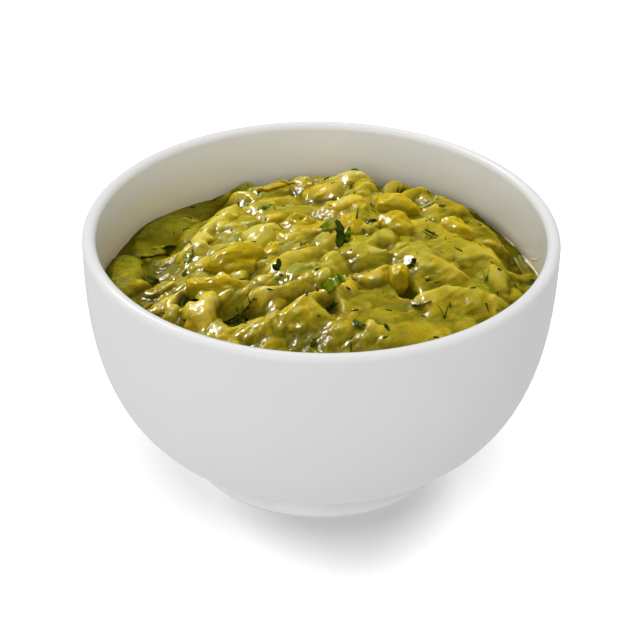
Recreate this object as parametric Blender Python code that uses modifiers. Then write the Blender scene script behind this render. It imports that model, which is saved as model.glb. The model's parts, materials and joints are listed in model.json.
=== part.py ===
# Guacamole heaped in a round white porcelain bowl.
#
# Metres, +Z up. The origin is the middle of the foot ring's underside, and +Y points to the back.
# The bowl is one turned solid. The guacamole is one solid too: it fills the bowl from the floor up,
# and its top is an uneven mound with lumps and folds. The largest lumps of avocado are solids of
# their own, half sunk in the mound, each in a pocket that clears it all round.

import math

import bmesh
import bpy
from mathutils import Matrix, Vector, noise

MM = 0.001

# Bowl: driving dimensions
RIM_RADIUS = 65.0 * MM
BOWL_HEIGHT = 70.0 * MM
WALL = 3.8 * MM
FLOOR_HEIGHT = 8.0 * MM      # the inside floor above the table
BODY_DEPTH = 66.4 * MM       # from the lip's centre down to where the outer curve would close
SIDE_POWER = 3.4             # the wall's curve is a superellipse: how upright the side is
BELLY_POWER = 2.7            # and how flat the belly is
FOOT_RADIUS = 38.8 * MM
NECK_ANGLE = 69.2            # where on the outer curve the foot begins, 5 mm above the table
FOOT_EDGE = 0.6 * MM         # bevel round the foot's lower edge
FOOT_RING = 3.2 * MM         # width of the flat ring that it stands on
RECESS_DEPTH = 2.4 * MM      # hollow under the foot
TURN_STEPS = 60

# Guacamole: driving dimensions
GAP = 0.3 * MM               # between neighbouring solids
WALL_LEVEL = 50.5 * MM       # where the mash meets the wall, on average
WALL_LEVEL_SWING = 1.6 * MM
MOUND_RISE = 9.8 * MM
MOUND_CENTRE = (5.0 * MM, 1.0 * MM)
MOUND_RADII = (51.0 * MM, 55.0 * MM)
MOUND_POWER = 2.8            # a broad top with a fall near the wall
MASH_CELLS = 16              # faces along each side of the cube that the mash is rounded from
GRAIN = 0.7 * MM             # small unevenness all over
GRAIN_SIZE = 7.0 * MM

# Soft lumps of the mash: place x, y, then length, width, rise in mm, and turn in degrees
SOFT_LUMPS = [
    (-38, -22, 15, 10, 2.6, 10),
    (-30, -25, 8, 11, 2.6, 0),
    (-54, 4, 11, 20, 4.0, 5),
    (-36, 14, 9, 18, 3.0, -12),
    (-27, 26, 13, 15, 2.4, -20),
    (-18, 11, 8, 17, 2.6, 8),
    (-14, 31, 20, 15, 3.2, 0),
    (-9, 42, 22, 18, 6.4, 0),
    (4, 36, 10, 12, 2.8, 10),
    (3, 27, 18, 8, 2.4, 0),
    (31, 45, 20, 13, 4.4, -35),
    (12, 2, 14, 14, 2.4, 0),
    (38, 24, 13, 10, 2.6, -20),
    (44, 8, 16, 20, 2.4, 0),
    (34, -3, 18, 9, 2.4, -35),
    (11, -17, 11, 9, 2.8, 0),
    (40, -18, 22, 13, 2.0, 30),
    (-8, -8, 14, 8, 2.2, 20),
]

# Folds that the spoon left: start x, y, end x, y, width and rise in mm
FOLDS = [
    (-28, -36, -2, -22, 8, 3.0),
    (-16, -20, 5, -8, 8, 2.4),
    (-12, 3, 4, 17, 6, 2.2),
    (-33, -3, -22, 12, 7, 2.2),
    (-46, -14, -34, -9, 6, 2.0),
    (8, -34, 36, -28, 12, 1.8),
    (20, 6, 42, -12, 7, 1.8),
]

# Hollows: place x, y, then width and depth in mm
HOLLOWS = [
    (-36, -17, 8, 3.0),
    (-21, -26, 12, 3.2),
    (24, -15, 8, 3.4),
    (2, -25, 7, 2.0),
    (-45, 22, 12, 2.0),
    (16, 40, 14, 2.4),
    (17, 3, 6, 1.6),
]

# Avocado lumps that lie on the mound: name, place x, y, then length, width, height in mm,
# turn in degrees, and how far the middle stands above the mash in mm
AVOCADO_LUMPS = [
    ("avocado_lump_big", -22, -1, 18, 13, 11, 20, -0.8),
    ("avocado_lump_finger", -28, -15, 16, 7, 8, -8, 0.0),
    ("avocado_lump_back", 22, 30, 14, 10, 10, -15, 0.4),
    ("avocado_lump_round", 21, 16, 13, 11, 11, -60, -1.2),
    ("avocado_lump_small", 21, -10, 6, 8, 9, 0, 0.2),
    ("avocado_lump_leafy", 8, 15, 9, 15, 10, -10, -1.5),
    ("avocado_lump_left", -6, 20, 11, 8, 8, -10, 0.0),
    ("avocado_lump_right", 38, 20, 13, 9, 9, -25, -0.4),
]
LUMP_SIDES = 14
LUMP_RINGS = 9
LUMP_UNEVENNESS = 0.25       # share of the radius


def clear_objects():
    for obj in list(bpy.data.objects):
        bpy.data.objects.remove(obj)


def new_collection(name):
    collection = bpy.data.collections.new(name)
    bpy.context.scene.collection.children.link(collection)
    return collection


def new_material(name, color, roughness):
    material = bpy.data.materials.new(name)
    material.use_nodes = True
    shader = material.node_tree.nodes["Principled BSDF"]
    shader.inputs["Base Color"].default_value = (*color, 1.0)
    shader.inputs["Roughness"].default_value = roughness
    shader.inputs["Metallic"].default_value = 0.0
    return material


def wall_curve(radius, top, depth, angle):
    """A point (r, z) of the bowl's superellipse, from the lip (angle 0) down to the axis."""
    r = radius * math.cos(angle) ** (2 / SIDE_POWER)
    z = top - depth * math.sin(angle) ** (2 / BELLY_POWER)
    return r, z


LIP = WALL / 2                              # the lip is a half round
LIP_CENTRE = BOWL_HEIGHT - LIP


def inside_points():
    """The hollow of the bowl as (r, z) points, from the middle of its floor up to the lip."""
    angles = (83, 74, 65, 55, 46, 38, 31, 24, 17, 10, 4)
    curve = [wall_curve(RIM_RADIUS - WALL, LIP_CENTRE, LIP_CENTRE - FLOOR_HEIGHT, math.radians(a)) for a in angles]
    return [(0.0, FLOOR_HEIGHT), *curve]


def inner_radius_at(z):
    """The radius of the hollow at height z, on the straight line between its two nearest points."""
    points = inside_points()
    for (low_r, low_z), (high_r, high_z) in zip(points, points[1:]):
        if z <= high_z:
            return low_r + (high_r - low_r) * (z - low_z) / (high_z - low_z)
    return RIM_RADIUS - WALL


def bowl_profile():
    """From the middle of the floor up the inside, over the lip and down the outside to the axis."""
    lip = [(RIM_RADIUS - LIP + LIP * math.cos(math.radians(a)), LIP_CENTRE + LIP * math.sin(math.radians(a)))
           for a in (180, 135, 90, 45, 0)]
    outside = [wall_curve(RIM_RADIUS, LIP_CENTRE, BODY_DEPTH, math.radians(a))
               for a in (8, 18, 28, 38, 48, 57, 64)]
    neck = wall_curve(RIM_RADIUS, LIP_CENTRE, BODY_DEPTH, math.radians(NECK_ANGLE))
    ring_inner = FOOT_RADIUS - FOOT_EDGE - FOOT_RING
    foot = [
        (FOOT_RADIUS, FOOT_EDGE),
        (FOOT_RADIUS - FOOT_EDGE, 0.0),
        (ring_inner, 0.0),
        (ring_inner - RECESS_DEPTH / 2, RECESS_DEPTH),
        (0.0, RECESS_DEPTH),
    ]
    return [*inside_points(), *lip, *outside, neck, *foot]


def turned(name, profile, collection, steps):
    """A solid of revolution about Z, from a profile of (r, z) points at +X."""
    mesh = bpy.data.meshes.new(name)
    mesh.from_pydata([(r, 0.0, z) for r, z in profile], [(i, i + 1) for i in range(len(profile) - 1)], [])
    obj = bpy.data.objects.new(name, mesh)
    collection.objects.link(obj)
    screw = obj.modifiers.new("turn", "SCREW")
    screw.steps = steps
    screw.render_steps = steps
    screw.use_merge_vertices = True
    screw.merge_threshold = 0.00001
    screw.use_smooth_shade = True
    return obj


def bump(distance):
    """1 at the middle, falling smoothly to 0 at distance 1 and beyond."""
    return (1 - distance * distance) ** 2 if distance < 1 else 0.0


def lump_rise(x, y, lump):
    lump_x, lump_y, length, width, rise, turn = lump
    offset = Matrix.Rotation(-math.radians(turn), 2) @ Vector((x - lump_x * MM, y - lump_y * MM))
    distance = math.hypot(offset.x / (length * 0.62 * MM), offset.y / (width * 0.62 * MM))
    return rise * MM * bump(distance)


def fold_rise(x, y, fold):
    start = Vector(fold[0:2]) * MM
    end = Vector(fold[2:4]) * MM
    width, rise = fold[4] * MM, fold[5] * MM
    along = (end - start).normalized()
    reach = min(max((Vector((x, y)) - start).dot(along), 0.0), (end - start).length)
    distance = (Vector((x, y)) - start - along * reach).length
    return rise * bump(distance / (width * 0.7))


def hollow_depth(x, y, hollow):
    hollow_x, hollow_y, width, depth = hollow
    distance = math.hypot(x - hollow_x * MM, y - hollow_y * MM) / (width * 0.6 * MM)
    return depth * MM * bump(distance)


def blended(heights):
    """The largest of some heights, eased where two of them are nearly equal."""
    return sum(height ** 3 for height in heights) ** (1 / 3)


def wall_level(x, y):
    """Height of the edge of the mash, which wanders up and down the wall."""
    turn = math.atan2(y, x)
    swing = 0.6 * math.sin(2 * turn + 0.5) + 0.4 * math.sin(5 * turn + 2.0)
    return WALL_LEVEL + WALL_LEVEL_SWING * swing


def mound_height(x, y):
    """Height of the top of the mash above the table."""
    away = math.hypot((x - MOUND_CENTRE[0]) / MOUND_RADII[0], (y - MOUND_CENTRE[1]) / MOUND_RADII[1])
    height = wall_level(x, y) + MOUND_RISE * (1 - min(away, 1.0) ** MOUND_POWER)
    height += blended(lump_rise(x, y, lump) for lump in SOFT_LUMPS)
    height += blended(fold_rise(x, y, fold) for fold in FOLDS)
    height -= blended(hollow_depth(x, y, hollow) for hollow in HOLLOWS)
    return height + GRAIN * noise.noise(Vector((x, y, 0.0)) / GRAIN_SIZE)


def build_bowl(collection):
    bowl = turned("bowl", bowl_profile(), collection, TURN_STEPS)
    bowl.data.materials.append(new_material("white_porcelain", (0.76, 0.75, 0.74), 0.12))
    return bowl


def along_inside(share):
    """A point (r, z) on the bowl's hollow: share 0 is the middle of the floor, 1 the wall's top edge of mash."""
    top = WALL_LEVEL - 2 * WALL_LEVEL_SWING
    points = [point for point in inside_points() if point[1] < top] + [(inner_radius_at(top), top)]
    steps = [math.dist(a, b) for a, b in zip(points, points[1:])]
    left = share * sum(steps)
    for (start_r, start_z), (end_r, end_z), step in zip(points, points[1:], steps):
        if left <= step:
            return start_r + (end_r - start_r) * left / step, start_z + (end_z - start_z) * left / step
        left -= step
    return points[-1]


def mash_point(direction):
    """Where a point of the unit sphere goes: its upper half makes the mound, its lower half fills the bowl."""
    turn = math.atan2(direction.y, direction.x)
    tilt = math.acos(max(-1.0, min(1.0, direction.z))) / (math.pi / 2)
    edge_level = wall_level(math.cos(turn), math.sin(turn))
    edge_radius = inner_radius_at(edge_level) - GAP
    if tilt > 1.001:
        r, z = along_inside((2 - tilt) * 0.98)
        r, z = max(r - GAP, 0.0), z + GAP
    elif tilt > 0.999:
        r, z = edge_radius, edge_level
    else:
        r = edge_radius * tilt
        z = mound_height(r * math.cos(turn), r * math.sin(turn))
    return Vector((r * math.cos(turn), r * math.sin(turn), z))


def build_mash(collection):
    """The filling, rounded from a cube so that its mound has an even mesh with no pole."""
    bm = bmesh.new()
    bmesh.ops.create_cube(bm, size=2.0)
    bmesh.ops.subdivide_edges(bm, edges=bm.edges, cuts=MASH_CELLS - 1, use_grid_fill=True)
    for vertex in bm.verts:
        even = Vector([math.tan(side * math.pi / 4) for side in vertex.co])
        vertex.co = mash_point(even.normalized())
    mesh = bpy.data.meshes.new("guacamole")
    bm.to_mesh(mesh)
    bm.free()
    mesh.shade_smooth()
    mash = bpy.data.objects.new("guacamole", mesh)
    collection.objects.link(mash)
    mesh.materials.append(new_material("mashed_avocado", (0.32, 0.24, 0.02), 0.3))
    return mash


def lump_mesh(name, size, turn, grow):
    """An uneven egg shape: a sphere stretched to size, dented by noise and turned about Z."""
    bm = bmesh.new()
    bmesh.ops.create_uvsphere(bm, u_segments=LUMP_SIDES, v_segments=LUMP_RINGS, radius=1.0)
    half = [side * MM / 2 + grow for side in size]
    seed = Vector((len(name), size[0], size[1]))
    for vertex in bm.verts:
        swell = 1 + LUMP_UNEVENNESS * noise.noise(vertex.co * 0.9 + seed)
        vertex.co = Vector((vertex.co[i] * half[i] * swell for i in range(3)))
    bmesh.ops.rotate(bm, verts=bm.verts, matrix=Matrix.Rotation(math.radians(turn), 3, "Z"))
    mesh = bpy.data.meshes.new(name)
    bm.to_mesh(mesh)
    bm.free()
    mesh.shade_smooth()
    return mesh


def build_lump(spec, mash, collection, cutters, material):
    """One lump of avocado, and the pocket for it in the mash."""
    name, lump_x, lump_y, length, width, height, turn, stand = spec
    size = (length, width, height)
    x, y = lump_x * MM, lump_y * MM
    place = (x, y, mound_height(x, y) + stand * MM)
    lump = bpy.data.objects.new(name, lump_mesh(name, size, turn, 0.0))
    lump.location = place
    lump.data.materials.append(material)
    collection.objects.link(lump)
    cutter = bpy.data.objects.new(name + "_pocket", lump_mesh(name, size, turn, GAP))
    cutter.location = place
    cutter.hide_render = True
    cutter.display_type = "WIRE"
    cutters.objects.link(cutter)
    cut = mash.modifiers.new(name + "_pocket", "BOOLEAN")
    cut.operation = "DIFFERENCE"
    cut.object = cutter


def main():
    clear_objects()
    parts = new_collection("guacamole_in_bowl")
    cutters = new_collection("cutters")
    build_bowl(parts)
    mash = build_mash(parts)
    avocado = new_material("ripe_avocado", (0.42, 0.30, 0.02), 0.25)
    for spec in AVOCADO_LUMPS:
        build_lump(spec, mash, parts, cutters, avocado)


main()
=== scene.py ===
import json
import math
import random

import bmesh
import bpy
import numpy as np
from mathutils import Matrix, Vector, noise

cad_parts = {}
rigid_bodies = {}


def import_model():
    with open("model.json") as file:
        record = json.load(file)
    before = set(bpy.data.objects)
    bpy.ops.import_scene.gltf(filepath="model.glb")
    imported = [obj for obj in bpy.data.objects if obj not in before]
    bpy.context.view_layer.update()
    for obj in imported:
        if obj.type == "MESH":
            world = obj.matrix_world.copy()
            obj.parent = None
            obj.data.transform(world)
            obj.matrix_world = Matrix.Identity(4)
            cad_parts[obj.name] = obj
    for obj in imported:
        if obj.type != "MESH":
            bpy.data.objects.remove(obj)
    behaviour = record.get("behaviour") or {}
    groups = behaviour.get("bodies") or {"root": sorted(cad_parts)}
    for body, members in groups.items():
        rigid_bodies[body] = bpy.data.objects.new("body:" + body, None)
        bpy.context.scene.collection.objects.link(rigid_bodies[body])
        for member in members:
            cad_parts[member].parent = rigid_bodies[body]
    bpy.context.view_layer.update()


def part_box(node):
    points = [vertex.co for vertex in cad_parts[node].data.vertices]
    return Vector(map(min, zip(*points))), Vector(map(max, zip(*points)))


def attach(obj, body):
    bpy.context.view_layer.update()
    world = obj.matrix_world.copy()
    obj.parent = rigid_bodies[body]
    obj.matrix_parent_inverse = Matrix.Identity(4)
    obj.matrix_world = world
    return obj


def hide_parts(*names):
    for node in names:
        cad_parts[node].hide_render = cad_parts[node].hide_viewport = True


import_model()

mm = 0.001


# ---- helpers for nodes, colours and meshes

def fromHex(colour):
    parts = [int(colour[i:i + 2], 16) / 255 for i in (1, 3, 5)]
    return (*[p / 12.92 if p <= 0.04045 else ((p + 0.055) / 1.055) ** 2.4 for p in parts], 1.0)


def addNode(tree, kind, links=None, **settings):
    # links: input name or number to a value, or to another node's output socket
    node = tree.nodes.new(kind)
    for name, value in settings.items():
        setattr(node, name, value)
    for key, value in (links or {}).items():
        if isinstance(value, bpy.types.NodeSocket):
            tree.links.new(value, node.inputs[key])
        else:
            node.inputs[key].default_value = value
    return node


def scaled(tree, value, low, high, toLow=0.0, toHigh=1.0, **settings):
    # a value that runs from low to high made to run from toLow to toHigh
    return addNode(tree, "ShaderNodeMapRange", {"Value": value, "From Min": low, "From Max": high,
                                                "To Min": toLow, "To Max": toHigh}, **settings).outputs[0]


def combined(tree, one, two, operation="MULTIPLY", **settings):
    return addNode(tree, "ShaderNodeMath", {0: one, 1: two}, operation=operation, **settings).outputs[0]


def blended(tree, share, one, two):
    mix = addNode(tree, "ShaderNodeMix", {"Factor": share, "A": one, "B": two}, data_type="RGBA")
    return mix.outputs["Result"]


def noiseOf(tree, place, size, detail=2.0, rough=0.5, twist=0.0):
    # noise with features of about the given size in mm
    return addNode(tree, "ShaderNodeTexNoise", {"Vector": place, "Scale": 1 / (size * mm), "Detail": detail,
                                                "Roughness": rough, "Distortion": twist}).outputs["Fac"]


def bumped(tree, height, strength, depth, under=None):
    # a bump of the given depth in mm, laid over the one under it
    links = {"Height": height, "Strength": strength, "Distance": depth * mm}
    if under:
        links["Normal"] = under
    return addNode(tree, "ShaderNodeBump", links).outputs["Normal"]


def attributeOf(tree, name):
    return addNode(tree, "ShaderNodeAttribute", attribute_name=name).outputs["Fac"]


def ramped(tree, value, first, last, *others):
    ramp = addNode(tree, "ShaderNodeValToRGB", {"Fac": value})
    ramp.color_ramp.elements[0].color = fromHex(first)
    ramp.color_ramp.elements[1].color = fromHex(last)
    for share, colour in others:
        ramp.color_ramp.elements.new(share).color = fromHex(colour)
    return ramp.outputs["Color"]


def newMaterial(name, shaderValues):
    material = bpy.data.materials.new(name)
    material.use_nodes = True
    shader = material.node_tree.nodes["Principled BSDF"]
    for key, value in shaderValues.items():
        shader.inputs[key].default_value = value
    return material, material.node_tree, shader


def placed(name, data):
    made = bpy.data.objects.new(name, data)
    bpy.context.scene.collection.objects.link(made)
    return made


def addPiece(name, mesh, materials):
    for material in materials:
        mesh.materials.append(material)
    piece = placed(name, mesh)
    mesh.shade_smooth()
    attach(piece, "root")
    return piece


def finished(bm, name):
    mesh = bpy.data.meshes.new(name)
    bm.to_mesh(mesh)
    bm.free()
    return mesh


def held(values):
    return np.clip(values, 0, 1)


def wayOf(degrees):
    return math.cos(math.radians(degrees)), math.sin(math.radians(degrees))


def meshFrom(name, points, faces):
    mesh = bpy.data.meshes.new(name)
    mesh.from_pydata(points, [], faces)
    mesh.update()
    return mesh


# ---- bowl: white porcelain, thrown in a mould, with one glazed finish all over, the ring it stands on as well

bowlLow, bowlHigh = [Vector(corner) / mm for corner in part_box("bowl")]
bowl = {                    # in mm
    "rimRadius": (bowlHigh.x - bowlLow.x) / 2,
    "height": bowlHigh.z,
    "wall": 3.8,
    "floorHeight": 8.0,     # of the inside
    "bodyDepth": 66.4,      # of the outside's curve, from the middle of the lip
    "sidePower": 3.4,       # how upright the side is
    "bellyPower": 2.7,      # how full the belly is
    "neckAngle": 69.2,      # where the curve meets the foot, in degrees
    "footRadius": 38.8,
    "footEdge": 0.6,
    "footRing": 3.2,
    "recessDepth": 2.4,
    "turnSteps": 240,
    "glaze": ("#e6e6e6", "#eaeaea"),
    # inside wall above the food: an oil film with painted warm light bounced off the food, and a juice stain
    # with painted shade and painted reflection where the food meets the wall
    "oilAndBounceTint": "#e2d4a6",
    "juiceStainAndShade": "#6a6024",
}
bowl["lip"] = bowl["wall"] / 2
bowl["lipCentre"] = bowl["height"] - bowl["lip"]
bowl["innerDepth"] = bowl["lipCentre"] - bowl["floorHeight"]


def wallCurve(radius, depth, degrees):
    angle = math.radians(degrees)
    r = radius * math.cos(angle) ** (2 / bowl["sidePower"])
    return r, bowl["lipCentre"] - depth * math.sin(angle) ** (2 / bowl["bellyPower"])


def innerRadius(z):
    drop = held((bowl["lipCentre"] - z) / bowl["innerDepth"])
    sine = drop ** (bowl["bellyPower"] / 2)
    return (bowl["rimRadius"] - bowl["wall"]) * np.sqrt(1 - sine * sine) ** (2 / bowl["sidePower"])


def arc(centreR, centreZ, radius, startDegrees, endDegrees, steps):
    for i in range(steps + 1):
        angle = math.radians(startDegrees + (endDegrees - startDegrees) * i / steps)
        yield centreR + radius * math.cos(angle), centreZ + radius * math.sin(angle)


def bowlProfile():
    # from the middle of the inside floor, up, over the lip, down the outside and under the foot
    outer, inner, lip = bowl["rimRadius"], bowl["rimRadius"] - bowl["wall"], bowl["lip"]
    inside = [wallCurve(inner, bowl["innerDepth"], 88 - 3 * i) for i in range(29)]
    over = list(arc(outer - lip, bowl["lipCentre"], lip, 180, 0, 14))
    outside = [wallCurve(outer, bowl["bodyDepth"], 3 + 2.9 * i) for i in range(23)]
    neckR, neckZ = wallCurve(outer, bowl["bodyDepth"], bowl["neckAngle"])
    neck = [(neckR + 0.15, neckZ + 0.5), (neckR + 0.25, neckZ), (neckR + 0.7, neckZ - 0.7)]
    footR, edge, recess = bowl["footRadius"], bowl["footEdge"], bowl["recessDepth"]
    foot = [(footR - 0.25, edge + 0.9), *arc(footR - edge, edge, edge, 0, -90, 5)]
    ringInner = footR - edge - bowl["footRing"]
    under = [*arc(ringInner + 0.5, 0.5, 0.5, 270, 180, 4), (ringInner - 0.6, recess - 0.3),
             (ringInner - 1.6, recess), (ringInner * 0.5, recess), (0, recess)]
    return [(0, bowl["floorHeight"]), *inside, *over, *outside, *neck, *foot, *under]


def turnedMesh(name, profile, steps):
    bm = bmesh.new()
    verts = [bm.verts.new((r * mm, 0, z * mm)) for r, z in profile]
    edges = [bm.edges.new(pair) for pair in zip(verts, verts[1:])]
    bmesh.ops.spin(bm, geom=verts + edges, axis=(0, 0, 1), cent=(0, 0, 0), steps=steps,
                   angle=2 * math.pi, use_merge=True)
    bmesh.ops.remove_doubles(bm, verts=bm.verts, dist=0.00001)
    bmesh.ops.recalc_face_normals(bm, faces=bm.faces)
    return finished(bm, name)


def glazedPorcelain():
    # hard, white and glassy, with the faintest waves, over a body that light enters a little; above
    # the food the inside wall has a warm tint, an oil film with painted light bounced off the food,
    # heavier at the left as painted shade, and at the right a dark strip next to the food, a juice stain with
    # painted shade and painted reflection of the food
    material, tree, shader = newMaterial("glazedPorcelain", {
        "Roughness": 0.22, "IOR": 1.45, "Specular IOR Level": 0.3, "Subsurface Weight": 0.08,
        "Subsurface Radius": (1.0, 0.9, 0.8), "Subsurface Scale": 0.002})
    place = addNode(tree, "ShaderNodeTexCoord").outputs["Object"]
    colour = blended(tree, noiseOf(tree, place, 14, 3.0), *[fromHex(tint) for tint in bowl["glaze"]])
    flat = addNode(tree, "ShaderNodeVectorMath", {0: place, 1: (1, 1, 0)}, operation="MULTIPLY").outputs[0]
    radius = addNode(tree, "ShaderNodeVectorMath", {0: flat}, operation="LENGTH").outputs["Value"]
    axes = addNode(tree, "ShaderNodeSeparateXYZ", {"Vector": place}).outputs
    inside = combined(tree, radius, (bowl["rimRadius"] - 3.4) * mm, "LESS_THAN")
    within = combined(tree, combined(tree, axes["Z"], 40 * mm, "GREATER_THAN"), inside)
    # painted shade: the tint is strongest at the far left, where the inside wall faces away from the light
    oilAndShadeShare = scaled(tree, axes["X"], -55 * mm, -20 * mm, 0.8, 0.45)
    lessAtFarRight = scaled(tree, axes["X"], 50 * mm, 59 * mm, 0.85, 0.35)
    stainAndShadeShare = scaled(tree, axes["X"], -10 * mm, 40 * mm, 0.15, lessAtFarRight)
    # each tint is strongest next to the food, where the painted bounce and painted shade fall
    for top, foot, most, tintColour in ((67, 50, oilAndShadeShare, bowl["oilAndBounceTint"]), (55, 50, stainAndShadeShare, bowl["juiceStainAndShade"])):
        near = scaled(tree, axes["Z"], top * mm, foot * mm, 0.0, most, interpolation_type="SMOOTHSTEP")
        colour = blended(tree, combined(tree, near, within), colour, fromHex(tintColour))
    tree.links.new(colour, shader.inputs["Base Color"])
    tree.links.new(bumped(tree, noiseOf(tree, place, 9), 0.25, 0.12), shader.inputs["Normal"])
    return material


bowlPiece = addPiece("bowlGlazed", turnedMesh("bowlGlazed", bowlProfile(), bowl["turnSteps"]),
                     [glazedPorcelain()])
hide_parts("bowl")
print("bowl turned")


# ---- lumps of ripe avocado left whole by the fork; the paste rises round them, so they come first

avocadoLumps = {
    "detail": 5,            # how often each ball is divided
    "unevenness": 0.3,
    "shows": 0.5,           # how much of a lump's height stands out of the paste
    # dark, green, middle, golden and pale flesh
    "colours": ("#5c5200", "#908200", "#ae9804", "#c4a810", "#ccbe58"),
    # node: length, width, height in mm and turn in degrees
    "sizes": {
        "avocado_lump_big": (18, 13, 11, 20), "avocado_lump_finger": (16, 7, 8, -8),
        "avocado_lump_back": (14, 10, 10, -15), "avocado_lump_round": (13, 11, 11, -60),
        "avocado_lump_small": (6, 8, 9, 0), "avocado_lump_leafy": (9, 15, 10, -10),
        "avocado_lump_left": (11, 8, 8, -10), "avocado_lump_right": (13, 9, 9, -25),
    },
}


# ---- mash: avocado crushed with a fork, soft lumps in a wet paste, spooned into a mound

mash = {
    "wallLevel": 50.5,      # where the paste meets the wall, in mm above the table
    "wallSwing": 1.6,       # how far that line goes up and down
    "rise": 9.8,            # of the mound's middle above it
    "centre": (5.0, 1.0),
    "radii": (51.0, 55.0),
    "power": 2.8,           # 2 for a round mound, more for a flat-topped one
    "cells": 286,           # faces across the mound
    "seed": 11,
    # painted shade for the creases, green, middle and golden flesh, and pale for crumbs and painted light on
    # crests
    "colours": ("#504800", "#6c7002", "#948606", "#b8980a", "#c4bc64"),
    "flow": 50,             # the way the spoon dragged the paste, in degrees from +X
    # waves left by the spoon, steep behind and easy in front: crest points from left to right,
    # width in front, width behind, rise
    "waves": [
        (((-44, -22), (-36, -24), (-31, -22), (-27, -26)), 10, 3, 1.6),
        (((-33, -38), (-21, -31.5), (-14, -28), (-9, -28.5)), 12, 3, 3.2),
        (((-12, -30), (-5.5, -26), (-0.5, -21.5), (5, -18.5)), 11, 2.5, 3.4),
        (((-19, -22), (-11.5, -18), (-5, -14), (0.5, -8.5), (5, -1)), 8, 2.5, 3.2),
        (((-14, -9), (-9, -3), (-1, 1), (5, 9), (8, 17)), 9, 3, 2.4),
        (((-12, 8), (-5, 12), (2, 20)), 7, 2.5, 2.2),
        (((-32, -3), (-27, 3), (-20, 8), (-15, 18)), 8, 3, 2.2),
        (((-37, 8), (-34, 18), (-29, 27), (-24, 38)), 6, 4, 3.0),
        (((-22, 30), (-16, 38), (-8, 41)), 10, 4, 3.0),
        (((-27, 42), (-20, 49), (-11, 54), (-1, 55), (8, 49), (15, 39)), 14, 4, 6.0),
        (((-4, 27), (5, 30), (13, 25)), 8, 3, 2.6),
        (((24, -6), (27, 0), (33, -2), (39, -8)), 8, 2.5, 2.2),
        (((24, 18), (31, 20), (38, 14), (46, 4)), 14, 4, 2.2),
        (((25, -21), (31, -16), (38, -14), (50, -14)), 14, 3, 2.6),
        (((16, 49), (27, 47), (37, 38), (45, 27), (51, 13)), 14, 4, 4.4),
        (((8, -38), (22, -32), (36, -30)), 12, 5, 1.6),
        (((2, -34), (8, -29), (16, -27), (22, -28)), 8, 4, 1.4),
    ],
    # soft lumps: x, y, length, width, rise, turn in degrees, tone from 0 green to 1 golden
    "lumps": [
        (-55, 3, 12, 24, 3.4, 5, 0.2), (-46, 30, 16, 24, 2.2, -40, 0.15), (-50, 16, 10, 12, 1.6, 0, 0.2),
        (-42, -17, 11, 8, 2.6, 15, 0.9), (-30.5, -24, 8.5, 15, 4.2, 0, 0.9), (-44, -6, 9, 7, 1.6, 20, 0.6),
        (-35, 16, 8, 12, 3, -15, 0.9), (-33, 1, 6, 8, 2.2, 0, 0.7), (-18, 14, 10, 12, 2.6, -20, 0.6),
        (-10, 30, 20, 12, 2.4, 0, 0.4), (-7, 20, 9, 7, 2.6, 20, 0.5), (-14, 17, 6, 6, 2, 0, 0.7),
        (12, 2, 17, 18, 2.8, 0, 0.4), (18, 8, 7, 8, 2.4, 0, 0.6), (33, 28, 10, 9, 2.4, -10, 0.5),
        (38, 27, 8, 8, 2.6, 0, 0.5), (40, 8, 20, 16, 2.4, -30, 0.4), (49, -2, 8, 14, 2.6, 0, 0.5),
        (14, -9, 9, 7, 2, 0, 0.9), (5, -16, 9, 8, 2.6, 0, 1), (-9, -12, 8, 6, 1.6, 20, 0.7),
        (-12, -24, 9, 6, 2, 15, 0.9), (34, -25, 20, 12, 1.6, 15, 0.4), (55, -8, 6, 10, 1.6, 0, 0.6),
    ],
    # loose lumps over the rest: how many, longest, tallest, softness of the crease round them
    "looseLumps": [(40, 12, 1.8, 1.2), (110, 7, 1.2, 0.8), (260, 4, 0.6, 0.5)],
    # where juice lies on the skin and wrinkles it: x, y, radius
    "wetPatches": [
        (-26, 9, 11), (-32, 0, 6), (-24, 2, 6), (-42, -8, 8), (-38, -13, 6), (-31, -18, 5), (-32, -8, 6),
        (-22, -31, 7), (-14, -28, 7), (-3, -23, 6), (-8, -16, 6), (0, -9, 5), (-5, 9, 9), (16, 34, 6),
        (30, 7, 8), (38, 2, 5), (31, 26, 5), (-19, 40, 6), (-13, 28, 6), (-8, 56, 5), (33, -17, 6),
        (-47, -14, 6), (3, 45, 5), (-14, -14, 5), (22, 1, 4), (36, 12, 5), (29, -4, 4), (45, 3, 5),
        (21, 22, 4), (12, 12, 4), (40, -20, 4), (10, -18, 4),
    ],
    # where the paste is smooth and has few small lumps: x, y, radius
    "smoothPatches": [
        (38, 6, 20), (14, 2, 13), (28, -24, 13), (-10, 33, 14), (36, 30, 12), (48, -10, 12), (2, 42, 12),
        (-8, -6, 8), (16, -18, 9), (-46, 28, 12), (-54, 4, 9),
    ],
    # wrinkles: size, height
    "wrinkles": [(3.0, 0.30), (1.5, 0.30)],
    # hollows: x, y, width, depth
    "hollows": [
        (-36, -18, 6, 4.0), (-21, -26, 13, 4.4), (24, -14, 6, 4.2), (2, -25, 6, 3.0), (17, 3, 7, 2.0),
        (-17, -9, 8, 2.6), (-44, 20, 14, 2.0), (55, 13, 15, 3.0),
    ],
}


def alongWay(x, y, degrees):
    # how far places lie along a way, and across it
    wayX, wayY = wayOf(degrees)
    return x * wayX + y * wayY, y * wayX - x * wayY


def grain(x, y, size, seed, stretch=1.0, turn=0.0):
    # smooth noise from -1 to 1, with features of the given size in mm, longer along the turn
    u, v = alongWay(x, y, turn)
    u, v = u / (size * stretch), v / size
    return np.array([noise.noise((a, b, seed)) for a, b in zip(u.tolist(), v.tolist())])


def easedMax(a, b, width):
    # the larger of two heights, with a soft crease of the given width where they meet
    mix = held(0.5 + (b - a) / (2 * width))
    return a + (b - a) * mix + width * mix * (1 - mix)


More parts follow.
